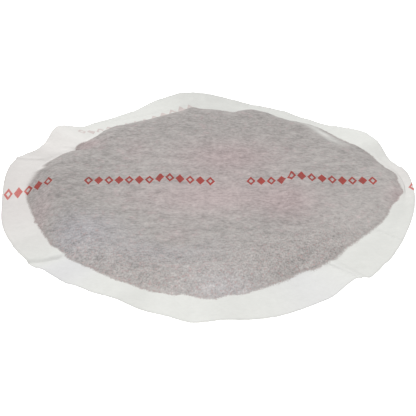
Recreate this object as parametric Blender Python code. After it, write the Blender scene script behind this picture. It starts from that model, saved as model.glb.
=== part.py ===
"""Coffee filter pack: ground coffee sealed between two discs of filter paper.

The pack lies flat. The origin is the centre of the flat base on the table, +Z is up, and the printed row
of the upper disc runs along X. Sizes are in millimetres. Directions are degrees, counter-clockwise from +X.
"""
import math
from collections import namedtuple

import bmesh
import bpy

MM = 0.001

# One side of a piece: its ring radii and its height by direction, and whether its middle is one flat face
Skin = namedtuple("Skin", "radii height flat_middle")

# Driving dimensions, in millimetres
DISC_DIAMETER = 160.0
PAPER_THICKNESS = 0.15
CLEARANCE = 0.3
SEAL_WIDTH = 3.0
SLACK = 12.0
RIM_HEIGHT = 4.0
RIM_WAVE = 1.0
COFFEE_DEPTH = 8.1
COFFEE_LIP = 0.9
SHOULDER = 13.0
UNDERSIDE_RISE = 15.0

# How much of the rim's ruffle is left where the paper leaves the coffee
RUFFLE_AT_COFFEE = 0.5

# Crests and hollows of the ruffled rim: direction, height as a share of RIM_HEIGHT,
# and how far it stands outside the cut circle as a share of RIM_WAVE
RIM = (
    (8, 1.65, 0.0),
    (24, 0.60, 0.0),
    (32, 1.55, 0.0),
    (57, 0.24, -0.8),
    (74, 0.50, 0.0),
    (96, 1.75, 0.0),
    (119, 0.24, -0.6),
    (129, 0.28, 0.0),
    (141, 1.75, 0.0),
    (147, 0.60, 0.0),
    (165, 1.55, 1.3),
    (183, 0.28, 0.0),
    (204, 1.00, 0.0),
    (214, 0.85, -1.2),
    (222, 1.60, -0.5),
    (228, 1.50, -0.8),
    (236, 1.75, -0.8),
    (244, 1.96, 0.0),
    (257, 1.20, 0.0),
    (266, 0.62, 0.0),
    (275, 0.90, 0.0),
    (281, 0.66, 0.0),
    (287, 0.62, 0.0),
    (302, 0.98, 0.0),
    (312, 2.00, 0.0),
    (318, 1.05, 0.0),
    (326, 1.05, -0.5),
    (343, 1.75, -0.5),
)

# How far the coffee has run out into the slack paper: direction, share of SLACK that it fills
SPREAD = (
    (5, 0.95),
    (22, 0.72),
    (38, 0.34),
    (54, 0.67),
    (63, 0.53),
    (74, 0.66),
    (83, 0.24),
    (90, 0.22),
    (96, 0.33),
    (102, 0.12),
    (128, 0.35),
    (144, -0.18),
    (152, 0.24),
    (163, 0.30),
    (177, 0.44),
    (190, 0.29),
    (204, 0.21),
    (217, 0.18),
    (228, 0.21),
    (238, 0.27),
    (251, 0.31),
    (262, 0.10),
    (271, 0.24),
    (281, 0.00),
    (297, -0.13),
    (303, -0.22),
    (314, -0.06),
    (324, -0.12),
    (350, 0.48),
)

# Mounds and hollows on the coffee: direction, distance out and spread as shares of the bed's radius,
# and height as a share of COFFEE_DEPTH
MOUNDS = (
    (8, 0.49, 0.15, 0.12),
    (165, 0.28, 0.17, 0.09),
    (176, 0.84, 0.16, 0.08),
    (40, 0.80, 0.22, -0.12),
    (250, 0.45, 0.40, -0.06),
    (110, 0.55, 0.35, 0.05),
    (310, 0.50, 0.30, 0.05),
)

# Resolution: steps around, and the rings across each stretch as shares of that stretch
AROUND = 96
PLATEAU_RINGS = (0.28, 0.50, 0.68, 0.85)
SHOULDER_RINGS = (0.0, 0.35, 0.65, 0.86, 1.0)
UNDERSIDE_RINGS = (0.0, 0.40, 0.72, 1.0)
FLANGE_RINGS = (0.45, 1.0)

PAPER_COLOR = (0.80, 0.79, 0.77, 1.0)
COFFEE_COLOR = (0.20, 0.13, 0.09, 1.0)


def ease(share):
    """Goes from 0 to 1 with a level start and end."""
    return 0.5 - 0.5 * math.cos(math.pi * share)


def around(points, direction, column):
    """Reads a column of a list of crests and hollows at a direction, easing from each to the next."""
    direction %= 360.0
    for here, there in zip(points, points[1:] + points[:1]):
        span = (there[0] - here[0]) % 360.0
        past = (direction - here[0]) % 360.0
        if past <= span:
            return here[column] + (there[column] - here[column]) * ease(past / span)
    return points[0][column]


def rim_radius(direction):
    return DISC_DIAMETER / 2 + RIM_WAVE * around(RIM, direction, 2)


def seal_radius(direction):
    """Inner edge of the ring where the two discs are bonded."""
    return rim_radius(direction) - SEAL_WIDTH


def coffee_radius(direction):
    """Edge of the coffee, which never passes the seal."""
    return seal_radius(direction) - SLACK * (1.0 - around(SPREAD, direction, 1))


def rim_height(direction):
    return RIM_HEIGHT * around(RIM, direction, 1)


def root_height(direction):
    """Height of the middle of the pack at the coffee's edge, where the ruffles die away."""
    return RIM_HEIGHT + (rim_height(direction) - RIM_HEIGHT) * RUFFLE_AT_COFFEE


def seam_height(direction, radius):
    """Height of the surface midway between the two discs, outside the coffee."""
    inner = coffee_radius(direction)
    share = (radius - inner) / (rim_radius(direction) - inner)
    return root_height(direction) + (rim_height(direction) - root_height(direction)) * share


def mound_height(direction, radius):
    """Unevenness of the coffee's top at a point."""
    x = radius * math.cos(math.radians(direction))
    y = radius * math.sin(math.radians(direction))
    total = 0.0
    for mound_direction, reach, spread, height in MOUNDS:
        bed = coffee_radius(mound_direction)
        away_x = x - reach * bed * math.cos(math.radians(mound_direction))
        away_y = y - reach * bed * math.sin(math.radians(mound_direction))
        away = math.hypot(away_x, away_y) / (spread * bed)
        total += COFFEE_DEPTH * height * math.exp(-away * away)
    return total


def coffee_top(direction, radius):
    bed = coffee_radius(direction)
    lip = root_height(direction) + COFFEE_LIP / 2
    level = PAPER_THICKNESS + CLEARANCE + COFFEE_DEPTH + mound_height(direction, radius)
    share = max(0.0, (radius - (bed - SHOULDER)) / SHOULDER)
    return lip + (level - lip) * math.cos(math.pi / 2 * min(1.0, share))


def coffee_bottom(direction, radius):
    bed = coffee_radius(direction)
    floor = PAPER_THICKNESS + CLEARANCE
    lip = root_height(direction) - COFFEE_LIP / 2
    share = max(0.0, (radius - (bed - UNDERSIDE_RISE)) / UNDERSIDE_RISE)
    return floor + (lip - floor) * (1.0 - math.cos(math.pi / 2 * min(1.0, share)))


def pocket_gap(direction, radius):
    """Distance between the facing sides of the discs outside the coffee: it closes at the seal."""
    inner = coffee_radius(direction)
    share = (radius - inner) / (seal_radius(direction) - inner)
    at_coffee = COFFEE_LIP + 2 * CLEARANCE
    return at_coffee + (CLEARANCE - at_coffee) * ease(min(1.0, share))


def upper_inside(direction, radius):
    """Underside of the upper disc."""
    if radius <= coffee_radius(direction):
        return coffee_top(direction, radius) + CLEARANCE
    return seam_height(direction, radius) + pocket_gap(direction, radius) / 2


def lower_inside(direction, radius):
    """Upper side of the lower disc."""
    if radius <= coffee_radius(direction):
        return coffee_bottom(direction, radius) - CLEARANCE
    return seam_height(direction, radius) - pocket_gap(direction, radius) / 2


def plateau_radii(direction):
    inner = coffee_radius(direction) - SHOULDER
    return [inner * share for share in PLATEAU_RINGS]


def shoulder_radii(direction):
    inner = coffee_radius(direction) - SHOULDER
    return [inner + SHOULDER * share for share in SHOULDER_RINGS]


def underside_radii(direction):
    inner = coffee_radius(direction) - UNDERSIDE_RISE
    return [inner + UNDERSIDE_RISE * share for share in UNDERSIDE_RINGS]


def flange_radii(direction):
    inner = coffee_radius(direction)
    seal = seal_radius(direction)
    pocket = [inner + (seal - inner) * share for share in FLANGE_RINGS]
    return pocket + [rim_radius(direction)]


def top_radii(direction):
    return plateau_radii(direction) + shoulder_radii(direction)


def ring_points(bm, radii, height):
    """Adds the rings of a surface, from the inside out, and returns them as lists of vertices."""
    rings = []
    for index in range(len(radii(0.0))):
        ring = []
        for step in range(AROUND):
            direction = 360.0 * step / AROUND
            radius = radii(direction)[index]
            x = radius * math.cos(math.radians(direction))
            y = radius * math.sin(math.radians(direction))
            ring.append(bm.verts.new((x * MM, y * MM, height(direction, radius) * MM)))
        rings.append(ring)
    return rings


def bridge(bm, inner, outer, upward):
    """Joins two rings with quads whose faces look up or down."""
    for step in range(AROUND):
        after = (step + 1) % AROUND
        corners = [inner[step], outer[step], outer[after], inner[after]]
        bm.faces.new(corners if upward else corners[::-1])


def add_skin(bm, skin, upward):
    """Adds one skin of a piece and returns its outer ring. Its middle is a fan or one flat face."""
    rings = ring_points(bm, skin.radii, skin.height)
    for inner, outer in zip(rings, rings[1:]):
        bridge(bm, inner, outer, upward)
    first = rings[0]
    if skin.flat_middle:
        bm.faces.new(first if upward else first[::-1])
        return rings[-1]
    centre = bm.verts.new((0.0, 0.0, skin.height(0.0, 0.0) * MM))
    for step in range(AROUND):
        corners = [centre, first[step], first[(step + 1) % AROUND]]
        bm.faces.new(corners if upward else corners[::-1])
    return rings[-1]


def finish_piece(bm, name, material):
    mesh = bpy.data.meshes.new(name)
    bm.to_mesh(mesh)
    bm.free()
    mesh.materials.append(material)
    mesh.shade_smooth()
    mesh.set_sharp_from_angle(angle=math.radians(50))
    piece = bpy.data.objects.new(name, mesh)
    bpy.context.scene.collection.objects.link(piece)
    return piece


def make_piece(name, material, top, bottom):
    """Closes an upper and a lower skin around their outer edge."""
    bm = bmesh.new()
    upper_edge = add_skin(bm, top, True)
    lower_edge = add_skin(bm, bottom, False)
    bridge(bm, upper_edge, lower_edge, True)
    return finish_piece(bm, name, material)


def make_material(name, color, roughness, alpha):
    material = bpy.data.materials.new(name)
    material.use_nodes = True
    shader = material.node_tree.nodes["Principled BSDF"]
    shader.inputs["Base Color"].default_value = color
    shader.inputs["Roughness"].default_value = roughness
    shader.inputs["Metallic"].default_value = 0.0
    shader.inputs["Alpha"].default_value = alpha
    return material


def upper_sheet_radii(direction):
    return top_radii(direction) + flange_radii(direction)


def lower_sheet_radii(direction):
    return underside_radii(direction) + flange_radii(direction)


def upper_outside(direction, radius):
    return upper_inside(direction, radius) + PAPER_THICKNESS


def lower_outside(direction, radius):
    return lower_inside(direction, radius) - PAPER_THICKNESS


def make_upper_filter_sheet():
    """The disc that drapes over the coffee and down to the seal."""
    paper = make_material("upper_filter_paper", PAPER_COLOR, 0.9, 0.6)
    top = Skin(upper_sheet_radii, upper_outside, False)
    bottom = Skin(upper_sheet_radii, upper_inside, False)
    return make_piece("upper_filter_sheet", paper, top, bottom)


def make_lower_filter_sheet():
    """The disc underneath, flat on the table inside and turned up to the seal."""
    paper = make_material("lower_filter_paper", PAPER_COLOR, 0.9, 0.6)
    top = Skin(lower_sheet_radii, lower_inside, True)
    bottom = Skin(lower_sheet_radii, lower_outside, True)
    return make_piece("lower_filter_sheet", paper, top, bottom)


def make_ground_coffee():
    """The bed of grounds: level in the middle, rounded at the shoulder, thin at its edge."""
    grounds = make_material("ground_coffee_bed", COFFEE_COLOR, 0.95, 1.0)
    top = Skin(top_radii, coffee_top, False)
    bottom = Skin(underside_radii, coffee_bottom, True)
    return make_piece("ground_coffee", grounds, top, bottom)


for item in list(bpy.data.objects):
    bpy.data.objects.remove(item, do_unlink=True)
make_lower_filter_sheet()
make_ground_coffee()
make_upper_filter_sheet()
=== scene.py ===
"""Looks of the coffee filter pack: translucent filter paper over ground coffee, with a row of red marks.

The forms repeat the solids' formulas at a finer pitch, in millimetres, and add what the solids leave out:
the ragged edge of the coffee, creases, crinkles, fibres and print. What shows through the paper is drawn on
it, and so is painted light and shade on the bare paper and over the coffee. Directions are degrees from +X,
counter-clockwise from above.
"""
import math

import bpy
import numpy as np
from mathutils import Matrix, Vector, noise


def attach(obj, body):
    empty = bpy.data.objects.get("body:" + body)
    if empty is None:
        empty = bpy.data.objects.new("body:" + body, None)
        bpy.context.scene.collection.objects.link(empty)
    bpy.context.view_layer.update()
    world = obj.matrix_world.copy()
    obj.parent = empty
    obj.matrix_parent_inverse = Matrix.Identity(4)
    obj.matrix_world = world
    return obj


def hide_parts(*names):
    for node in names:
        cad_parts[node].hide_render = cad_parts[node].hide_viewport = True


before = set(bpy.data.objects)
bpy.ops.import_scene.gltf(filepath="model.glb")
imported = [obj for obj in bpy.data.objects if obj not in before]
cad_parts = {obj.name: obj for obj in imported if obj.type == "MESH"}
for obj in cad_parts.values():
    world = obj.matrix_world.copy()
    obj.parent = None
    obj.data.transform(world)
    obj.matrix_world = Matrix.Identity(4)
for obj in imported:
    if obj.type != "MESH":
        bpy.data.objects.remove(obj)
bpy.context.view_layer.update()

MM = 0.001

# Forms shared with the solids, in millimetres
DISC_DIAMETER = 160.0
SOLID_PAPER = 0.15
SOLID_CLEARANCE = 0.3
SEAL_WIDTH = 3.0
SLACK = 12.0
RIM_HEIGHT = 4.0
RIM_WAVE = 1.0
COFFEE_DEPTH = 8.1
COFFEE_LIP = 0.9
SHOULDER = 13.0
UNDERSIDE_RISE = 15.0
RUFFLE_AT_COFFEE = 0.5

# Crests and hollows of the ruffled rim: direction, share of RIM_HEIGHT, share of RIM_WAVE outwards
RIM = (
    (8, 1.65, 0.0),
    (24, 0.60, 0.0),
    (32, 1.55, 0.0),
    (57, 0.24, -0.8),
    (74, 0.50, 0.0),
    (96, 1.75, 0.0),
    (119, 0.24, -0.6),
    (129, 0.28, 0.0),
    (141, 1.75, 0.0),
    (147, 0.60, 0.0),
    (165, 1.55, 1.3),
    (183, 0.28, 0.0),
    (204, 1.00, 0.0),
    (214, 0.85, -1.2),
    (222, 1.60, -0.5),
    (228, 1.50, -0.8),
    (236, 1.75, -0.8),
    (244, 1.96, 0.0),
    (257, 1.20, 0.0),
    (266, 0.62, 0.0),
    (275, 0.90, 0.0),
    (281, 0.66, 0.0),
    (287, 0.62, 0.0),
    (302, 0.98, 0.0),
    (312, 2.00, 0.0),
    (318, 1.05, 0.0),
    (326, 1.05, -0.5),
    (343, 1.75, -0.5),
)

# How far the coffee has run out into the slack paper: direction, share of SLACK
SPREAD = (
    (5, 0.95),
    (22, 0.72),
    (38, 0.34),
    (54, 0.67),
    (63, 0.53),
    (74, 0.66),
    (83, 0.24),
    (90, 0.22),
    (96, 0.33),
    (102, 0.12),
    (128, 0.35),
    (144, -0.18),
    (152, 0.24),
    (163, 0.30),
    (177, 0.44),
    (190, 0.29),
    (204, 0.21),
    (217, 0.18),
    (228, 0.21),
    (238, 0.27),
    (251, 0.31),
    (262, 0.10),
    (271, 0.24),
    (281, 0.00),
    (297, -0.13),
    (303, -0.22),
    (314, -0.06),
    (324, -0.12),
    (350, 0.48),
)

# Mounds and hollows on the coffee: direction, reach and spread as shares of the bed, height as a share of
# COFFEE_DEPTH
MOUNDS = (
    (8, 0.49, 0.15, 0.12),
    (165, 0.28, 0.17, 0.09),
    (176, 0.84, 0.16, 0.08),
    (40, 0.80, 0.22, -0.12),
    (250, 0.45, 0.40, -0.06),
    (110, 0.55, 0.35, 0.05),
    (310, 0.50, 0.30, 0.05),
)

# Paper as it is: thinner than the solids, bonded at the seal, and a little off the coffee's form
PAPER = 0.10
SEAL_GAP = 0.04
INNER_GAP = 0.35

# Folds across the flange: direction at the coffee, direction at the rim, height in mm (below zero for a
# valley), and how far its sides run clockwise and counter-clockwise, in mm
FOLDS = (
    (157.4, 160.2, 1.1, 5.0, 0.8),
    (145.2, 146.5, 0.8, 3.5, 2.6),
    (217.9, 212.6, -1.5, 0.7, 7.0),
    (338.2, 336.1, -0.6, 0.6, 0.6),
    (312.0, 314.0, -1.5, 8.0, 0.7),
    (98.2, 98.0, 0.5, 3.5, 5.0),
    (274.1, 275.0, -0.4, 1.2, 1.5),
    (293.4, 294.8, -0.4, 1.5, 3.5),
    (236.0, 243.0, 0.4, 3.0, 1.3),
    (100.0, 128.0, -0.5, 1.5, 3.0),
    (26.0, 17.0, 0.7, 3.0, 1.0),
    (187.0, 189.0, -0.3, 2.5, 1.5),
    (201.0, 199.0, 0.3, 3.0, 1.5),
    (325.0, 324.0, 0.3, 2.0, 2.0),
    (258.0, 262.0, 0.3, 2.5, 2.5),
    (30.0, 36.0, 0.4, 2.0, 2.0),
    (60.0, 66.0, 0.4, 2.0, 2.0),
)

# The first folds have a sharp side, so the mesh is finer beside them
SHARP_FOLDS = FOLDS[:5]

# Relief of the flange: how far inside the coffee's edge it sets in and how far it takes to reach full height,
# in mm, the same for folds, and the share of a fold's height that is lost at the rim
RELIEF_START = 1.0
RELIEF_REACH = 5.0
FOLD_START = 0.5
FOLD_REACH = 3.0
FOLD_FADE = 0.35

# Wrinkles of the upper disc over the coffee: both ends in plan, height, and reach to the left and right in mm
WRINKLES = (
    ((24.2, 39.9), (32.2, 9.5), 0.5, 0.9, 6.0),
    ((32.2, 9.5), (30.6, -12.0), 0.8, 0.8, 7.0),
    ((-18.0, 14.0), (-18.3, -20.0), 0.6, 0.8, 6.0),
    ((-46.0, 26.0), (-31.0, 12.0), 0.3, 1.2, 4.0),
    ((2.0, -22.0), (16.0, -40.0), 0.25, 1.5, 4.0),
    ((48.0, -12.0), (40.0, -36.0), 0.25, 1.5, 4.0),
)

# How far a wrinkle takes to die out past its ends, and the paper's relief over the coffee to set in, in mm
WRINKLE_END = 5.0
BED_RELIEF_REACH = 6.0

# Layers of crinkles: height and pitch in mm, how far they are drawn out along X, and a seed
FLANGE_PUCKERS = (0.30, 2.6, 1.0, 4.0)
FLANGE_CRINKLES = (0.10, 4.0, 1.0, 9.0)
SHOULDER_PUCKERS = (0.25, 2.0, 1.0, 6.0)
BED_SWELLS = (0.25, 9.0, 1.6, 1.0)
BED_CRINKLES = (0.10, 2.2, 2.2, 2.0)
GROUNDS_LUMPS = (0.10, 1.6, 1.0, 12.0)

# Puckers run outwards, so their noise is read on a circle, with these radii in mm
FLANGE_CIRCLE = 22.0
SHOULDER_CIRCLE = 30.0

# The shoulder's puckers: how far inside the coffee's edge they lie, and how far they reach, in mm
SHOULDER_PUCKER_PLACE = 5.0
SHOULDER_PUCKER_REACH = 5.0

# The noise of every crinkle: falling off, step and number of its octaves
NOISE_FALL = 0.6
NOISE_STEP = 2.1
NOISE_OCTAVES = 3

# Painted light on the bare paper, a tint by direction from cool at -1 to warm at 1: direction, half width in
# degrees, share
PAINTED_LIGHT_TINTS = (
    (178.0, 30.0, 1.0),
    (146.0, 12.0, 0.45),
    (224.0, 9.0, -1.0),
    (301.0, 10.0, -0.6),
    (12.0, 12.0, 0.7),
)

# Painted light and shade of the bare paper against its plain tone, by direction: direction, half width in
# degrees, share
PAINTED_PAPER_SHADING = (
    (92.0, 44.0, -0.10),
    (143.0, 6.0, 0.11),
    (110.0, 12.0, 0.02),
    (98.0, 5.0, -0.02),
    (166.0, 7.0, -0.02),
    (186.0, 9.0, -0.05),
    (208.0, 12.0, -0.04),
    (153.0, 5.0, -0.08),
    (350.0, 8.0, -0.05),
    (262.0, 8.0, 0.08),
    (285.0, 9.0, 0.03),
    (304.0, 12.0, 0.05),
    (30.0, 8.0, 0.05),
)

# Lightness of the paper over the coffee, partly painted light and shade and partly paper lying looser on the
# coffee: plan place, reach along X and Y in mm, share
COFFEE_SHADE_AND_LIFT = (
    (2.0, -66.0, 36.0, 9.0, 0.26),
    (5.0, -62.0, 60.0, 18.0, 0.10),
    (60.0, -25.0, 20.0, 20.0, 0.17),
    (69.0, 6.0, 8.0, 14.0, 0.13),
    (-65.0, 14.0, 5.0, 7.0, -0.09),
    (-48.0, 36.0, 8.0, 6.0, -0.06),
    (-60.0, -10.0, 18.0, 26.0, -0.17),
    (0.0, 52.0, 70.0, 18.0, -0.09),
    (-42.0, 22.0, 18.0, 14.0, -0.07),
    (36.0, -49.0, 12.0, 10.0, -0.01),
    (-48.0, -26.0, 14.0, 12.0, 0.04),
    (8.5, 22.0, 16.0, 10.0, -0.07),
    (28.0, -19.0, 12.0, 10.0, -0.11),
    (0.0, -10.0, 12.0, 9.0, 0.10),
    (-22.0, -52.0, 14.0, 10.0, -0.09),
)

# Tint of the paper over the coffee, from cool to mauve: plan place, reach along X and Y in mm, share
COFFEE_TINTS = (
    (8.0, 23.0, 20.0, 13.0, 1.0),
    (2.0, -6.0, 30.0, 13.0, 0.9),
    (31.0, -11.0, 10.0, 12.0, 0.8),
    (-12.0, -35.0, 8.0, 7.0, 0.5),
    (-29.0, 29.0, 5.0, 9.0, 0.4),
    (-64.0, -18.0, 5.0, 20.0, 0.7),
    (-48.0, -30.0, 16.0, 13.0, -0.9),
    (-16.0, -43.0, 20.0, 9.0, -0.5),
    (6.0, -64.0, 14.0, 8.0, -0.5),
    (-48.0, 36.0, 6.0, 5.0, 0.9),
    (-61.0, -35.0, 4.0, 6.0, 0.8),
    (74.0, -3.0, 5.0, 7.0, 0.8),
)

# Small lobes of the coffee's visible edge: direction, half width in degrees, and how far out in mm, which is
# below zero for a dent
LOBES = (
    (2.0, 3.0, 0.4),
    (4.0, 2.2, -1.1),
    (7.0, 2.6, -1.5),
    (16.9, 1.2, -1.0),
    (21.0, 3.0, -0.8),
    (58.0, 6.0, -1.5),
    (68.0, 3.0, -1.9),
    (92.5, 2.5, -2.2),
    (98.6, 2.2, -2.2),
    (107.5, 6.0, -1.3),
    (112.0, 5.0, 0.6),
    (131.5, 8.5, -3.6),
    (144.0, 2.5, 2.6),
    (150.5, 2.0, -1.2),
    (157.0, 6.5, -1.9),
    (163.8, 1.2, -2.4),
    (169.0, 3.0, -0.5),
    (193.0, 8.0, -0.5),
    (210.5, 2.0, 1.0),
    (221.0, 5.0, 0.9),
    (259.0, 2.0, 1.8),
    (272.5, 1.5, 0.9),
    (280.5, 3.0, 1.6),
    (308.0, 3.0, 1.3),
    (313.0, 2.5, 0.8),
    (356.0, 2.0, 0.6),
)

# A crescent where the upper disc lifts off the coffee: direction, half width in degrees, share. Then how far
# inside the coffee's edge it lies and how far it reaches, in mm, and the share of the contact that is lost
LIFTED_ARC = ((45.0, 11.0, 1.0),)
LIFTED_PLACE = 4.4
LIFTED_REACH = 2.6
LIFTED_SHARE = 0.75

# How far the coffee's visible edge blends out, in mm, and where it does so by more: direction, half width in
# degrees, and by how many mm
EDGE_BLEND = 1.0
EDGE_BLENDS = (
    (168.0, 8.0, 2.6),
    (318.0, 25.0, 0.7),
)

# Speckle of single grains: its share at the back, what the front adds, where it starts to grow in front of
# the middle, over what stretch, how far it reaches inside the coffee's edge, and its growth for each mm of X
SPECKLE_FAR = 0.20
SPECKLE_NEAR = 0.95
SPECKLE_START = 5.0
SPECKLE_GROWTH = 45.0
SPECKLE_DEPTH = 26.0
SPECKLE_LEAN = 0.004

# How far in from the rim the cut edge looks darker, in mm
RIM_BAND = 0.6

# Print of each disc: direction of its rows, then in mm the centre line of one row, where a group starts on
# it, and how far apart groups are
UPPER_ROWS = {"turn": 0.0, "offset": 5.0, "start": -48.3, "pitch": 63.0}
LOWER_ROWS = {"turn": 20.0, "offset": 65.5, "start": -33.0, "pitch": 80.0}

# Rows of both discs, in mm: how far apart they are, and how far groups shift from each row to the next. Then
# the lozenges of a group, whose holes are a share of their size
ROW_PITCH = 92.0
ROW_STAGGER = -28.8
GROUP_LENGTH = 51.2
MARKS_PER_GROUP = 13
MARK_HALF_WIDTH = 1.8
MARK_HALF_HEIGHT = 3.1
MARK_HOLE = 0.46

# How soft the print's edges are: a mark's as a share of its half size, a cell's and a group's in mm
MARK_EDGE = 0.04
CELL_EDGE = 0.01
GROUP_EDGE = 0.02

# Where the printed row wanders as the paper crinkles: distance along it and sideways shift, in mm
ROW_WANDER = (
    (-80.0, 0.0), (-61.0, 0.4), (-48.0, 0.0), (-40.0, 0.5), (-30.0, 0.3), (-21.5, 0.0), (-17.5, 1.5),
    (-13.0, 1.2), (-8.0, 0.5), (4.0, -0.4), (16.0, 0.0), (28.5, -0.2), (32.5, 1.7), (37.0, 1.8),
    (41.0, 0.9), (46.0, 0.5), (52.0, 0.0), (62.0, 0.3), (80.0, 0.0),
)

# Mesh pitch: degrees around, the same beside the sharp folds, and how far to each side of them, in degrees
PITCH_AROUND = 0.75
PITCH_AT_FOLDS = 0.2
FOLD_BAND = 1.0

# Rings across each stretch. The first lies at a small share of the way, and a fan closes it. The angle is the
# one from which an edge is shaded sharp, in degrees
FIRST_RING = 0.02
PLATEAU_STEPS = 42
SHOULDER_STEPS = 16
POCKET_STEPS = 11
SEAL_RINGS = (0.3, 0.6, 0.85, 1.0)
SHARP_ANGLE = 60.0

# The grounds lie inside the bed's form: how far under its top and from the paper, and how far from the edge
# their lumps begin to die out, in mm, then how many rings they have, and what share of the radius they reach
GROUNDS_DROP = 0.12
GROUNDS_GAP = 0.05
GROUNDS_THINNING = 4.0
GROUNDS_RINGS = 64
GROUNDS_REACH = 0.995


def mesh_directions():
    """Directions of the mesh's spokes, closer together beside the sharp folds."""
    spokes = [np.arange(0.0, 360.0, PITCH_AROUND)]
    for inner, outer, _, _, _ in SHARP_FOLDS:
        spokes.append(np.arange(min(inner, outer) - FOLD_BAND, max(inner, outer) + FOLD_BAND, PITCH_AT_FOLDS))
    return np.unique(np.round(np.concatenate(spokes), 2))


directions = mesh_directions()
AROUND = len(directions)


def ease(share):
    """Goes from 0 to 1 with a level start and end."""
    return 0.5 - 0.5 * np.cos(np.pi * np.clip(share, 0.0, 1.0))


def around(points, angles, column):
    """Reads a column of a list of crests and hollows at some directions, easing from each to the next."""
    angles = np.asarray(angles, float) % 360.0
    values = np.zeros_like(angles)
    for here, there in zip(points, points[1:] + points[:1]):
        span = (there[0] - here[0]) % 360.0
        past = (angles - here[0]) % 360.0
        inside = past < span
        eased = here[column] + (there[column] - here[column]) * ease(past / span)
        values = np.where(inside, eased, values)
    return values


def rim_radius(angles):
    return DISC_DIAMETER / 2 + RIM_WAVE * around(RIM, angles, 2)


def seal_radius(angles):
    return rim_radius(angles) - SEAL_WIDTH


def coffee_radius(angles):
    return seal_radius(angles) - SLACK * (1.0 - around(SPREAD, angles, 1))


def rim_height(angles):
    return RIM_HEIGHT * around(RIM, angles, 1)


def root_height(angles):
    return RIM_HEIGHT + (rim_height(angles) - RIM_HEIGHT) * RUFFLE_AT_COFFEE


def plan(angles, radii):
    turned = np.radians(angles)
    return radii * np.cos(turned), radii * np.sin(turned)


def mound_height(angles, radii):
    """Unevenness of the coffee's top."""
    x, y = plan(angles, radii)
    total = np.zeros_like(x)
    for direction, reach, spread, height in MOUNDS:
        bed = float(coffee_radius([direction])[0])
        mound_x, mound_y = plan(direction, reach * bed)
        away = np.hypot(x - mound_x, y - mound_y) / (spread * bed)
        total += COFFEE_DEPTH * height * np.exp(-away * away)
    return total


def coffee_top(angles, radii):
    bed = coffee_radius(angles)
    lip = root_height(angles) + COFFEE_LIP / 2
    level = SOLID_PAPER + SOLID_CLEARANCE + COFFEE_DEPTH + mound_height(angles, radii)
    share = np.clip((radii - (bed - SHOULDER)) / SHOULDER, 0.0, 1.0)
    return lip + (level - lip) * np.cos(np.pi / 2 * share)


def coffee_bottom(angles, radii):
    bed = coffee_radius(angles)
    floor = SOLID_PAPER + SOLID_CLEARANCE
    lip = root_height(angles) - COFFEE_LIP / 2
    share = np.clip((radii - (bed - UNDERSIDE_RISE)) / UNDERSIDE_RISE, 0.0, 1.0)
    return floor + (lip - floor) * (1.0 - np.cos(np.pi / 2 * share))


def seam_height(angles, radii):
    """Surface midway between the discs, outside the coffee."""
    inner = coffee_radius(angles)
    share = (radii - inner) / (rim_radius(angles) - inner)
    return root_height(angles) + (rim_height(angles) - root_height(angles)) * share


def pocket_gap(angles, radii):
    """Distance between the facing sides of the discs outside the coffee."""
    inner = coffee_radius(angles)
    share = (radii - inner) / (seal_radius(angles) - inner)
    at_coffee = COFFEE_LIP + 2 * INNER_GAP
    return at_coffee + (SEAL_GAP - at_coffee) * ease(share)


def crinkle(x, y, layer):
    """Height of one layer of crinkles, in mm."""
    height, pitch, stretch, seed = layer
    values = np.empty(x.size)
    for index, (px, py) in enumerate(zip(x.ravel() / (pitch * stretch), y.ravel() / pitch)):
        values[index] = noise.fractal((px, py, seed), NOISE_FALL, NOISE_STEP, NOISE_OCTAVES)
    return height * values.reshape(x.shape)


def flange_relief(angles, radii):
    """Puckers and folds that both discs share outside the coffee."""
    bed = coffee_radius(angles)
    outward = ease((radii - bed + RELIEF_START) / RELIEF_REACH)
    relief = crinkle(*plan(angles, FLANGE_CIRCLE), FLANGE_PUCKERS) * outward
    relief += crinkle(*plan(angles, radii), FLANGE_CRINKLES) * outward
    share = np.clip((radii - bed) / (rim_radius(angles) - bed), 0.0, 1.0)
    for inner_direction, outer_direction, height, clockwise, counter in FOLDS:
        line = inner_direction + (outer_direction - inner_direction) * share
        away = np.radians((angles - line + 180.0) % 360.0 - 180.0) * radii
        side = np.where(away < 0.0, clockwise, counter)
        strength = height * (1.0 - FOLD_FADE * share) * ease((radii - bed + FOLD_START) / FOLD_REACH)
        relief += strength * np.exp(-np.abs(away) / side)
    return relief


def wrinkle_relief(x, y):
    """Wrinkles of the upper disc over the coffee."""
    relief = np.zeros_like(x)
    for (start_x, start_y), (end_x, end_y), height, to_left, to_right in WRINKLES:
        length = math.hypot(end_x - start_x, end_y - start_y)
        run_x, run_y = (end_x - start_x) / length, (end_y - start_y) / length
        along = (x - start_x) * run_x + (y - start_y) * run_y
        beyond = np.maximum(np.maximum(-along, along - length), 0.0)
        side = (x - start_x) * run_y - (y - start_y) * run_x
        side = -side if run_y < 0.0 else side
        away = np.abs(side) / np.where(side < 0.0, to_left, to_right)
        relief += height * np.exp(-away - (beyond / WRINKLE_END) ** 2)
    return relief


def upper_inside(angles, radii):
    """Underside of the upper disc."""
    bed = coffee_radius(angles)
    over_coffee = coffee_top(angles, radii) + INNER_GAP
    outside = seam_height(angles, radii) + pocket_gap(angles, radii) / 2
    height = np.where(radii <= bed, over_coffee, outside)
    x, y = plan(angles, radii)
    on_bed = ease((bed - radii) / BED_RELIEF_REACH)
    height += on_bed * (crinkle(x, y, BED_SWELLS) + crinkle(x, y, BED_CRINKLES) + wrinkle_relief(x, y))
    shoulder = np.exp(-(((radii - bed + SHOULDER_PUCKER_PLACE) / SHOULDER_PUCKER_REACH) ** 2))
    height += shoulder * crinkle(*plan(angles, SHOULDER_CIRCLE), SHOULDER_PUCKERS)
    return height + flange_relief(angles, radii)


def lower_inside(angles, radii):
    """Upper side of the lower disc."""
    bed = coffee_radius(angles)
    under_coffee = coffee_bottom(angles, radii) - INNER_GAP
    outside = seam_height(angles, radii) - pocket_gap(angles, radii) / 2
    height = np.where(radii <= bed, under_coffee, outside) + flange_relief(angles, radii)
    return np.maximum(height, PAPER)


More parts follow.
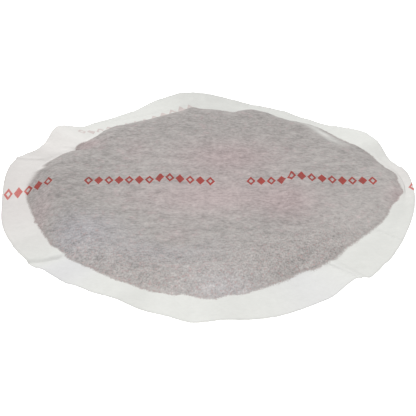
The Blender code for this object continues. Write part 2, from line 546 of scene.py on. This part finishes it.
def sheet_radii():
    """Ring radii of a disc from the middle out, as rows of a table with a column for each direction."""
    bed = coffee_radius(directions)
    seal = seal_radius(directions)
    rim = rim_radius(directions)
    rows = [(bed - SHOULDER) * share for share in np.linspace(FIRST_RING, 1.0, PLATEAU_STEPS)]
    rows += [bed - SHOULDER * (1.0 - share) for share in np.linspace(0.0, 1.0, SHOULDER_STEPS + 1)[1:]]
    rows += [bed + (seal - bed) * share for share in np.linspace(0.0, 1.0, POCKET_STEPS + 1)[1:]]
    rows += [seal + (rim - seal) * share for share in SEAL_RINGS]
    return np.array(rows)


def skin_faces(rings, first, upward):
    """Quads between rings, and a fan in the middle whose centre is the vertex after the last ring."""
    steps = np.arange(AROUND)
    after = (steps + 1) % AROUND
    faces = []
    for ring in range(rings - 1):
        inner = first + ring * AROUND
        outer = inner + AROUND
        quads = np.stack([inner + steps, outer + steps, outer + after, inner + after], 1)
        faces += (quads if upward else quads[:, ::-1]).tolist()
    centre = np.full(AROUND, first + rings * AROUND)
    fan = np.stack([centre, first + steps, first + after], 1)
    faces += (fan if upward else fan[:, ::-1]).tolist()
    return faces


def skin_points(radii, heights):
    x, y = plan(directions[None, :], radii)
    points = np.stack([x, y, heights], 2).reshape(-1, 3)
    middle = [[0.0, 0.0, float(heights[0].mean())]]
    return np.concatenate([points, middle])


def make_shell(name, radii, top, bottom):
    """Closes two skins on the same rings around their rim. Returns the object and its plan points in mm."""
    rings = len(radii)
    upper = skin_points(radii, top)
    lower = skin_points(radii, bottom)
    first_lower = len(upper)
    faces = skin_faces(rings, 0, True) + skin_faces(rings, first_lower, False)
    rim_top = (rings - 1) * AROUND
    rim_bottom = first_lower + rim_top
    for step in range(AROUND):
        after = (step + 1) % AROUND
        faces.append([rim_top + step, rim_bottom + step, rim_bottom + after, rim_top + after])
    points = np.concatenate([upper, lower])
    mesh = bpy.data.meshes.new(name)
    mesh.from_pydata((points * MM).tolist(), [], faces)
    mesh.shade_smooth()
    mesh.set_sharp_from_angle(angle=math.radians(SHARP_ANGLE))
    piece = bpy.data.objects.new(name, mesh)
    bpy.context.scene.collection.objects.link(piece)
    return piece, points


def add_value(mesh, name, values):
    """Stores one number for each vertex."""
    mesh.attributes.new(name, "FLOAT", "POINT").data.foreach_set("value", np.asarray(values, np.float32))


def add_place(mesh, name, along, across):
    """Stores a place in a printed sheet for each vertex, in mm."""
    places = np.stack([along, across, np.zeros_like(along)], 1).astype(np.float32)
    mesh.attributes.new(name, "FLOAT_VECTOR", "POINT").data.foreach_set("vector", places.ravel())


def row_place(points, rows):
    """Distance along and across the printed rows of a disc. Those of the upper one wander."""
    turned = math.radians(rows["turn"])
    along = points[:, 0] * math.cos(turned) + points[:, 1] * math.sin(turned) - rows["start"]
    across = points[:, 1] * math.cos(turned) - points[:, 0] * math.sin(turned) - rows["offset"]
    if rows is UPPER_ROWS:
        stations = np.array(ROW_WANDER, float)
        across -= np.interp(points[:, 0], stations[:, 0], stations[:, 1])
    return along, across


def near_directions(angles, patches):
    """Sum of soft patches around the pack, each with a direction, a half width in degrees and a share."""
    total = np.zeros(len(angles))
    for direction, half_width, share in patches:
        away = ((angles - direction + 180.0) % 360.0 - 180.0) / half_width
        total += share * np.exp(-away * away)
    return total


def near_places(points, patches):
    """Sum of soft patches on the plan, each with a place, its reach along X and Y and a share."""
    total = np.zeros(len(points))
    for x, y, reach_x, reach_y, share in patches:
        away = np.hypot((points[:, 0] - x) / reach_x, (points[:, 1] - y) / reach_y)
        total += share * np.exp(-away * away)
    return total


# Colours of the paper, in linear red, green and blue
BARE_PAPER = (0.612, 0.615, 0.590, 1.0)
# Warm and cool painted shade of the bare paper, used by its painted light tint
PAPER_IN_WARM_SHADE = (0.572, 0.548, 0.535, 1.0)
PAPER_IN_COOL_SHADE = (0.583, 0.582, 0.586, 1.0)
GREY_OVER_COFFEE = (0.325, 0.307, 0.296, 1.0)
MAUVE_OVER_COFFEE = (0.362, 0.302, 0.300, 1.0)
COOL_OVER_COFFEE = (0.322, 0.314, 0.326, 1.0)
BROWN_AT_EDGE = (0.25, 0.185, 0.170, 1.0)
PINK_FLECKS = (0.40, 0.285, 0.275, 1.0)
INK_THROUGH_PAPER = (0.38, 0.25, 0.245, 1.0)

# Share of the paper's own red, green and blue that the ink lets back
INK = (0.80, 0.15, 0.13)

# How strongly the paper's fibres and clouds show over the coffee, the share of that where the paper is bare,
# and how much darker its cut edge is
FIBRE_CONTRAST = 0.72
CLOUD_CONTRAST = 0.80
BARE_CONTRAST = 0.12
RIM_SHADE = -0.15

# Share of mauve in the spots, of pink in the flecks of the front edge, and of brown in the coffee's rind
SPOT_SHARE = 0.6
FLECK_SHARE = 0.55
RIND_SHARE = 0.35

# How ragged the coffee's visible edge is, in mm: by its grain, by more of that where it is speckled, and by
# clouds
FRAY = 0.6
SPECKLED_FRAY = 1.0
CLOUD_FRAY = 2.4

# Strength of the far disc's ink, then of the disc's own: what it has everywhere, what raised fibres add, and
# what the coffee under it adds
FAR_INK = 0.45
INK_EVERYWHERE = 0.76
INK_ON_FIBRES = 0.12
INK_ON_COFFEE = 0.12

# Roughness of the paper, and what its fibres add, and its gloss
PAPER_ROUGHNESS = 0.82
FIBRE_ROUGHNESS = 0.15
PAPER_SPECULAR = 0.25

# Where in its noise each pattern begins and is full: mauve spots, pink flecks, grains of the rind, and fibres
# that take more ink. The rind itself runs over these mm from the coffee's edge
SPOTS = (0.57, 0.70)
FLECKS = (0.56, 0.68)
RIND_GRAINS = (0.40, 0.62)
INKED_FIBRES = (0.25, 0.55)
RIND_WIDTH = (1.6, 0.2)

# Roasted grounds and flakes of chaff: colours, where in their noise they begin and are full, and roughness
DARK_GROUNDS = (0.035, 0.018, 0.010, 1.0)
LIGHT_GROUNDS = (0.13, 0.070, 0.040, 1.0)
CHAFF = (0.28, 0.18, 0.11, 1.0)
CHAFF_SHARE = 0.6
GROUNDS_TONES = (0.3, 0.7)
CHAFF_FLAKES = (0.62, 0.72)
GROUNDS_ROUGHNESS = 0.65
GRAIN_ROUGHNESS = 0.3


class Nodes:
    """Short names for the shader nodes that the materials use."""

    def __init__(self, name):
        self.material = bpy.data.materials.new(name)
        self.material.use_nodes = True
        self.tree = self.material.node_tree
        self.shader = self.tree.nodes["Principled BSDF"]

    def put(self, socket, value):
        if isinstance(value, bpy.types.NodeSocket):
            self.tree.links.new(value, socket)
        elif value is not None:
            socket.default_value = value

    def math(self, operation, first, second=None, third=None):
        node = self.tree.nodes.new("ShaderNodeMath")
        node.operation = operation
        for socket, value in zip(node.inputs, (first, second, third)):
            self.put(socket, value)
        return node.outputs[0]

    def add(self, first, second):
        return self.math("ADD", first, second)

    def minus(self, first, second):
        return self.math("SUBTRACT", first, second)

    def times(self, first, second):
        return self.math("MULTIPLY", first, second)

    def divide(self, first, second):
        return self.math("DIVIDE", first, second)

    def step(self, value, low, high):
        """Goes smoothly from 0 at low to 1 at high."""
        node = self.tree.nodes.new("ShaderNodeMapRange")
        node.interpolation_type = "SMOOTHSTEP"
        for socket, setting in zip(node.inputs, (value, low, high, 0.0, 1.0)):
            self.put(socket, setting)
        return node.outputs[0]

    def mix(self, share, first, second):
        node = self.tree.nodes.new("ShaderNodeMix")
        node.data_type = "RGBA"
        self.put(node.inputs[0], share)
        self.put(node.inputs[6], first)
        self.put(node.inputs[7], second)
        return node.outputs[2]

    def scale(self, factor, color):
        node = self.tree.nodes.new("ShaderNodeVectorMath")
        node.operation = "SCALE"
        self.put(node.inputs[0], color if isinstance(color, bpy.types.NodeSocket) else color[:3])
        self.put(node.inputs["Scale"], factor)
        return node.outputs[0]

    def through(self, color, shares):
        """Colour after each of its parts is cut to a share."""
        node = self.tree.nodes.new("ShaderNodeVectorMath")
        node.operation = "MULTIPLY"
        self.put(node.inputs[0], color)
        self.put(node.inputs[1], shares)
        return node.outputs[0]

    def attribute(self, name, output):
        node = self.tree.nodes.new("ShaderNodeAttribute")
        node.attribute_name = name
        return node.outputs[output]

    def value(self, name):
        """A number that mark_sheet stored."""
        return self.attribute(name, "Fac")

    def row(self, name):
        """Distances along and across the rows that mark_sheet stored."""
        node = self.tree.nodes.new("ShaderNodeSeparateXYZ")
        self.put(node.inputs[0], self.attribute(name, "Vector"))
        return node.outputs[0], node.outputs[1]

    def place(self, stretch_x=1.0, stretch_y=1.0, shift=0.0):
        """Object coordinates in mm, squeezed along X or Y so that a pattern on them is drawn out."""
        coordinates = self.tree.nodes.new("ShaderNodeTexCoord")
        mapping = self.tree.nodes.new("ShaderNodeMapping")
        mapping.inputs["Location"].default_value = (shift, shift, shift)
        mapping.inputs["Scale"].default_value = (1000.0 / stretch_x, 1000.0 / stretch_y, 1000.0)
        self.tree.links.new(coordinates.outputs["Object"], mapping.inputs["Vector"])
        return mapping.outputs[0]

    def noise(self, vector, pitch, detail, roughness):
        """Noise around 0.5 whose patches are about pitch wide, in the vector's units."""
        node = self.tree.nodes.new("ShaderNodeTexNoise")
        node.inputs["Scale"].default_value = 1.0 / pitch
        node.inputs["Detail"].default_value = detail
        node.inputs["Roughness"].default_value = roughness
        self.put(node.inputs["Vector"], vector)
        return node.outputs[0]

    def tint(self, name, plain, warm, cool):
        """Colour of a stored tint, which runs from cool at -1 to warm at 1."""
        value = self.value(name)
        warmed = self.mix(self.math("MAXIMUM", value, 0.0), plain, warm)
        return self.mix(self.math("MAXIMUM", self.times(value, -1.0), 0.0), warmed, cool)

    def bump(self, height, strength, distance):
        node = self.tree.nodes.new("ShaderNodeBump")
        node.inputs["Strength"].default_value = strength
        node.inputs["Distance"].default_value = distance
        self.put(node.inputs["Height"], height)
        return node.outputs[0]


def print_mask(nodes, attribute, group_pitch):
    """Groups of small lozenges along a row, every other one hollow."""
    along, across = nodes.row(attribute)
    row = nodes.math("WRAP", across, ROW_PITCH / 2, -ROW_PITCH / 2)
    row_number = nodes.divide(nodes.minus(across, row), ROW_PITCH)
    along = nodes.add(along, nodes.times(row_number, ROW_STAGGER))
    in_group = nodes.math("WRAP", along, group_pitch, 0.0)
    mark_pitch = GROUP_LENGTH / MARKS_PER_GROUP
    cell = nodes.math("WRAP", in_group, mark_pitch, 0.0)
    sideways = nodes.math("ABSOLUTE", nodes.minus(cell, mark_pitch / 2))
    upwards = nodes.math("ABSOLUTE", row)
    lozenge = nodes.add(nodes.divide(sideways, MARK_HALF_WIDTH), nodes.divide(upwards, MARK_HALF_HEIGHT))
    filled = nodes.step(lozenge, 1.0 + MARK_EDGE, 1.0 - MARK_EDGE)
    hole = nodes.step(lozenge, MARK_HOLE + MARK_EDGE, MARK_HOLE - MARK_EDGE)
    pair = nodes.math("WRAP", in_group, 2 * mark_pitch, 0.0)
    hollow = nodes.step(pair, mark_pitch + CELL_EDGE, mark_pitch - CELL_EDGE)
    shape = nodes.minus(filled, nodes.times(hole, hollow))
    return nodes.times(shape, nodes.step(in_group, GROUP_LENGTH + GROUP_EDGE, GROUP_LENGTH - GROUP_EDGE))


def paper_material(name, own_rows, other_rows):
    """Thin filter paper: white where it is alone, grey-mauve where the grounds would show through it, with
    painted light and shade on both.
    """
    nodes = Nodes(name)
    fibres = nodes.noise(nodes.place(stretch_x=1.7), pitch=0.9, detail=1.5, roughness=0.5)
    clouds = nodes.noise(nodes.place(stretch_x=1.4, shift=7.0), pitch=4.0, detail=4.0, roughness=0.65)
    grain = nodes.noise(nodes.place(stretch_y=1.4, shift=3.0), pitch=0.6, detail=1.0, roughness=0.5)
    mottle = nodes.noise(nodes.place(stretch_x=0.8, shift=19.0), pitch=3.0, detail=2.0, roughness=0.6)
    specks = nodes.noise(nodes.place(shift=11.0), pitch=0.8, detail=1.0, roughness=0.5)
    even_clouds = nodes.minus(clouds, 0.5)
    even_grain = nodes.minus(grain, 0.5)
    streaks = nodes.add(nodes.times(nodes.minus(fibres, 0.5), FIBRE_CONTRAST),
                        nodes.times(even_clouds, CLOUD_CONTRAST))

    # Bare paper, with a painted light tint, painted light and shade by direction, and a darker cut edge
    bare = nodes.tint("painted_light_tint", BARE_PAPER, PAPER_IN_WARM_SHADE, PAPER_IN_COOL_SHADE)
    rim_shade = nodes.times(nodes.value("rim"), RIM_SHADE)
    lightness = nodes.add(nodes.add(1.0, nodes.value("painted_paper_shading")), rim_shade)
    bare = nodes.scale(nodes.add(lightness, nodes.times(streaks, BARE_CONTRAST)), bare)

    # Paper over the coffee, with lightness partly of painted light and shade, mauve spots, single grains and
    # pink flecks
    speckled = nodes.value("speckle")
    wet = nodes.tint("coffee_tint", GREY_OVER_COFFEE, MAUVE_OVER_COFFEE, COOL_OVER_COFFEE)
    spots = nodes.step(mottle, *SPOTS)
    wet = nodes.mix(nodes.times(spots, SPOT_SHARE), wet, MAUVE_OVER_COFFEE)
    lightness = nodes.add(1.0, nodes.value("coffee_shade_and_lift"))
    speckle = nodes.times(even_grain, speckled)
    wet = nodes.scale(nodes.add(lightness, nodes.add(streaks, speckle)), wet)
    flecks = nodes.times(nodes.step(specks, *FLECKS), speckled)
    wet = nodes.mix(nodes.times(flecks, FLECK_SHARE), wet, PINK_FLECKS)

    # The coffee's edge: a brown rind, then a ragged line where the paper is bare again
    margin = nodes.value("margin")
    rind = nodes.times(nodes.step(margin, *RIND_WIDTH), nodes.step(grain, *RIND_GRAINS))
    wet = nodes.mix(nodes.times(rind, RIND_SHARE), wet, BROWN_AT_EDGE)
    fray = nodes.add(FRAY, nodes.times(speckled, SPECKLED_FRAY))
    ragged = nodes.add(nodes.times(even_grain, fray), nodes.times(even_clouds, CLOUD_FRAY))
    past_edge = nodes.divide(nodes.add(margin, ragged), nodes.value("softness"))
    contact = nodes.times(nodes.step(past_edge, -0.5, 0.5), nodes.value("contact"))
    color = nodes.mix(contact, bare, wet)

    # The far disc's print shows through bare paper, under the disc's own
    far_marks = print_mask(nodes, "far_row", other_rows["pitch"])
    far_ink = nodes.times(far_marks, nodes.minus(1.0, contact))
    color = nodes.mix(nodes.times(far_ink, FAR_INK), color, INK_THROUGH_PAPER)
    raised = nodes.step(fibres, *INKED_FIBRES)
    strength = nodes.add(INK_EVERYWHERE, nodes.times(raised, INK_ON_FIBRES))
    strength = nodes.add(strength, nodes.times(contact, INK_ON_COFFEE))
    ink = nodes.times(print_mask(nodes, "row", own_rows["pitch"]), strength)
    color = nodes.mix(ink, color, nodes.through(color, INK))

    nodes.put(nodes.shader.inputs["Base Color"], color)
    roughness = nodes.add(PAPER_ROUGHNESS, nodes.times(fibres, FIBRE_ROUGHNESS))
    nodes.put(nodes.shader.inputs["Roughness"], roughness)
    nodes.put(nodes.shader.inputs["Specular IOR Level"], PAPER_SPECULAR)
    height = nodes.add(nodes.times(fibres, 0.5), clouds)
    nodes.put(nodes.shader.inputs["Normal"], nodes.bump(height, strength=0.5, distance=0.00025))
    return nodes.material


def grounds_material():
    """Roasted grounds: dark brown grains with a little oil."""
    nodes = Nodes("coffee_grounds")
    grains = nodes.noise(nodes.place(), pitch=0.7, detail=3.0, roughness=0.7)
    flakes = nodes.noise(nodes.place(shift=5.0), pitch=1.6, detail=2.0, roughness=0.5)
    brown = nodes.mix(nodes.step(grains, *GROUNDS_TONES), DARK_GROUNDS, LIGHT_GROUNDS)
    chaff = nodes.times(nodes.step(flakes, *CHAFF_FLAKES), CHAFF_SHARE)
    nodes.put(nodes.shader.inputs["Base Color"], nodes.mix(chaff, brown, CHAFF))
    roughness = nodes.add(GROUNDS_ROUGHNESS, nodes.times(grains, GRAIN_ROUGHNESS))
    nodes.put(nodes.shader.inputs["Roughness"], roughness)
    nodes.put(nodes.shader.inputs["Normal"], nodes.bump(grains, strength=0.8, distance=0.0006))
    return nodes.material


def mark_sheet(piece, points, own_rows, other_rows):
    """Stores what the paper's material reads: the coffee's edge, contact, tint, painted light and shade,
    grain and both prints.
    """
    angles = np.degrees(np.arctan2(points[:, 1], points[:, 0]))
    radii = np.hypot(points[:, 0], points[:, 1])
    margin = coffee_radius(angles) + near_directions(angles, LOBES) - radii

    contact = np.ones(len(points))
    if own_rows is UPPER_ROWS:
        across_arc = np.exp(-(((margin - LIFTED_PLACE) / LIFTED_REACH) ** 2))
        contact -= LIFTED_SHARE * near_directions(angles, LIFTED_ARC) * across_arc

    near = ease((-points[:, 1] - SPECKLE_START) / SPECKLE_GROWTH) * (1.0 + SPECKLE_LEAN * points[:, 0])
    at_edge = np.exp(-((margin / SPECKLE_DEPTH) ** 2))

    values = {
        "margin": margin,
        "contact": contact,
        "softness": EDGE_BLEND + near_directions(angles, EDGE_BLENDS),
        # Painted light: a tint and light and shade by direction on the bare paper, and over the coffee a
        # lightness that is partly painted
        "painted_light_tint": np.clip(near_directions(angles, PAINTED_LIGHT_TINTS), -1.0, 1.0),
        "painted_paper_shading": np.clip(near_directions(angles, PAINTED_PAPER_SHADING), -1.0, 1.0),
        "coffee_tint": np.clip(near_places(points, COFFEE_TINTS), -1.0, 1.0),
        "coffee_shade_and_lift": np.clip(near_places(points, COFFEE_SHADE_AND_LIFT), -1.0, 1.0),
        "rim": np.clip((radii - rim_radius(angles)) / RIM_BAND + 1.0, 0.0, 1.0),
        "speckle": SPECKLE_FAR + SPECKLE_NEAR * near * at_edge,
    }
    for name, numbers in values.items():
        add_value(piece.data, name, numbers)
    add_place(piece.data, "row", *row_place(points, own_rows))
    add_place(piece.data, "far_row", *row_place(points, other_rows))


def make_upper_sheet():
    radii = sheet_radii()
    inside = upper_inside(directions[None, :], radii)
    piece, points = make_shell("upper_filter_paper", radii, inside + PAPER, inside)
    mark_sheet(piece, points, UPPER_ROWS, LOWER_ROWS)
    piece.data.materials.append(paper_material("upper_paper", UPPER_ROWS, LOWER_ROWS))
    return piece


def make_lower_sheet():
    radii = sheet_radii()
    inside = lower_inside(directions[None, :], radii)
    piece, points = make_shell("lower_filter_paper", radii, inside, inside - PAPER)
    mark_sheet(piece, points, LOWER_ROWS, UPPER_ROWS)
    piece.data.materials.append(paper_material("lower_paper", LOWER_ROWS, UPPER_ROWS))
    return piece


def make_grounds():
    """The coffee itself, with a lumpy, grainy top under the paper."""
    bed = coffee_radius(directions)
    angles = directions[None, :]
    radii = np.array([bed * share for share in np.linspace(FIRST_RING, GROUNDS_REACH, GROUNDS_RINGS)])
    thinning = ease((bed - radii) / GROUNDS_THINNING)
    lumps = thinning * crinkle(*plan(angles, radii), GROUNDS_LUMPS)
    top = coffee_top(angles, radii) - GROUNDS_DROP + lumps
    top = np.minimum(top, upper_inside(angles, radii) - GROUNDS_GAP)
    bottom = coffee_bottom(angles, radii) + GROUNDS_GAP
    piece, _ = make_shell("coffee_grounds", radii, top, bottom)
    piece.data.materials.append(grounds_material())
    return piece


def dress(piece, node):
    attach(piece, "root")
    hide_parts(node)


# Floor, in metres: half its side, and how far it lies under the part. It glows, so that it stays white
FLOOR_REACH = 3.0
FLOOR_DROP = 0.0001
FLOOR_COLOR = (0.94, 0.94, 0.94, 1.0)
FLOOR_ROUGHNESS = 0.9
FLOOR_GLOW = 0.8

# Daylight all round, and soft lamps that point at the pack: name, place and size in metres, power in watts
DAYLIGHT = 0.62
LAMPS = (
    ("key", (-0.36, 0.44, 0.82), 0.4, 6.2),
    ("fill", (0.2, -0.6, 0.9), 0.9, 3.2),
)
WHITE = (1.0, 1.0, 1.0, 1.0)


def make_floor():
    mesh = bpy.data.meshes.new("floor")
    corners = [(-FLOOR_REACH, -FLOOR_REACH, 0.0), (FLOOR_REACH, -FLOOR_REACH, 0.0),
               (FLOOR_REACH, FLOOR_REACH, 0.0), (-FLOOR_REACH, FLOOR_REACH, 0.0)]
    mesh.from_pydata(corners, [], [(0, 1, 2, 3)])
    floor = bpy.data.objects.new("floor", mesh)
    floor.location.z = -FLOOR_DROP
    bpy.context.scene.collection.objects.link(floor)
    nodes = Nodes("floor")
    nodes.put(nodes.shader.inputs["Base Color"], FLOOR_COLOR)
    nodes.put(nodes.shader.inputs["Roughness"], FLOOR_ROUGHNESS)
    nodes.put(nodes.shader.inputs["Emission Color"], WHITE)
    nodes.put(nodes.shader.inputs["Emission Strength"], FLOOR_GLOW)
    mesh.materials.append(nodes.material)


def make_lights():
    world = bpy.data.worlds.new("soft_daylight")
    world.use_nodes = True
    background = world.node_tree.nodes["Background"]
    background.inputs["Color"].default_value = WHITE
    background.inputs["Strength"].default_value = DAYLIGHT
    bpy.context.scene.world = world
    for name, place, size, power in LAMPS:
        lamp = bpy.data.lights.new(name, "AREA")
        lamp.size = size
        lamp.energy = power
        holder = bpy.data.objects.new(name, lamp)
        holder.location = place
        holder.rotation_euler = (-Vector(place)).to_track_quat("-Z", "Y").to_euler()
        bpy.context.scene.collection.objects.link(holder)


# The photograph's view, in mm and degrees: the pack's middle sits a little above the picture's middle
IMAGE_SIZE = 416
VIEW_ELEVATION = 32.0
VIEW_DISTANCE = 750.0
VIEW_CENTRE_HEIGHT = 3.0
PACK_WIDTH_PX = 413.0
PACK_CENTRE_ROW_PX = 201.0
SENSOR_WIDTH = 36.0


def make_camera():
    focal_px = PACK_WIDTH_PX / DISC_DIAMETER * VIEW_DISTANCE
    camera = bpy.data.cameras.new("camera")
    camera.sensor_width = SENSOR_WIDTH
    camera.lens = camera.sensor_width * focal_px / IMAGE_SIZE
    holder = bpy.data.objects.new("camera", camera)
    elevation = math.radians(VIEW_ELEVATION)
    back = Vector((0.0, -math.cos(elevation), math.sin(elevation)))
    holder.location = (back * VIEW_DISTANCE + Vector((0.0, 0.0, VIEW_CENTRE_HEIGHT))) * MM
    drop = math.atan((IMAGE_SIZE / 2 - PACK_CENTRE_ROW_PX) / focal_px)
    holder.rotation_euler = (math.pi / 2 - elevation - drop, 0.0, 0.0)
    bpy.context.scene.collection.objects.link(holder)
    bpy.context.scene.camera = holder


upper = make_upper_sheet()
lower = make_lower_sheet()
grounds = make_grounds()
dress(upper, "upper_filter_sheet")
dress(lower, "lower_filter_sheet")
dress(grounds, "ground_coffee")
make_floor()
make_lights()
make_camera()
bpy.context.scene.view_settings.view_transform = "Standard"
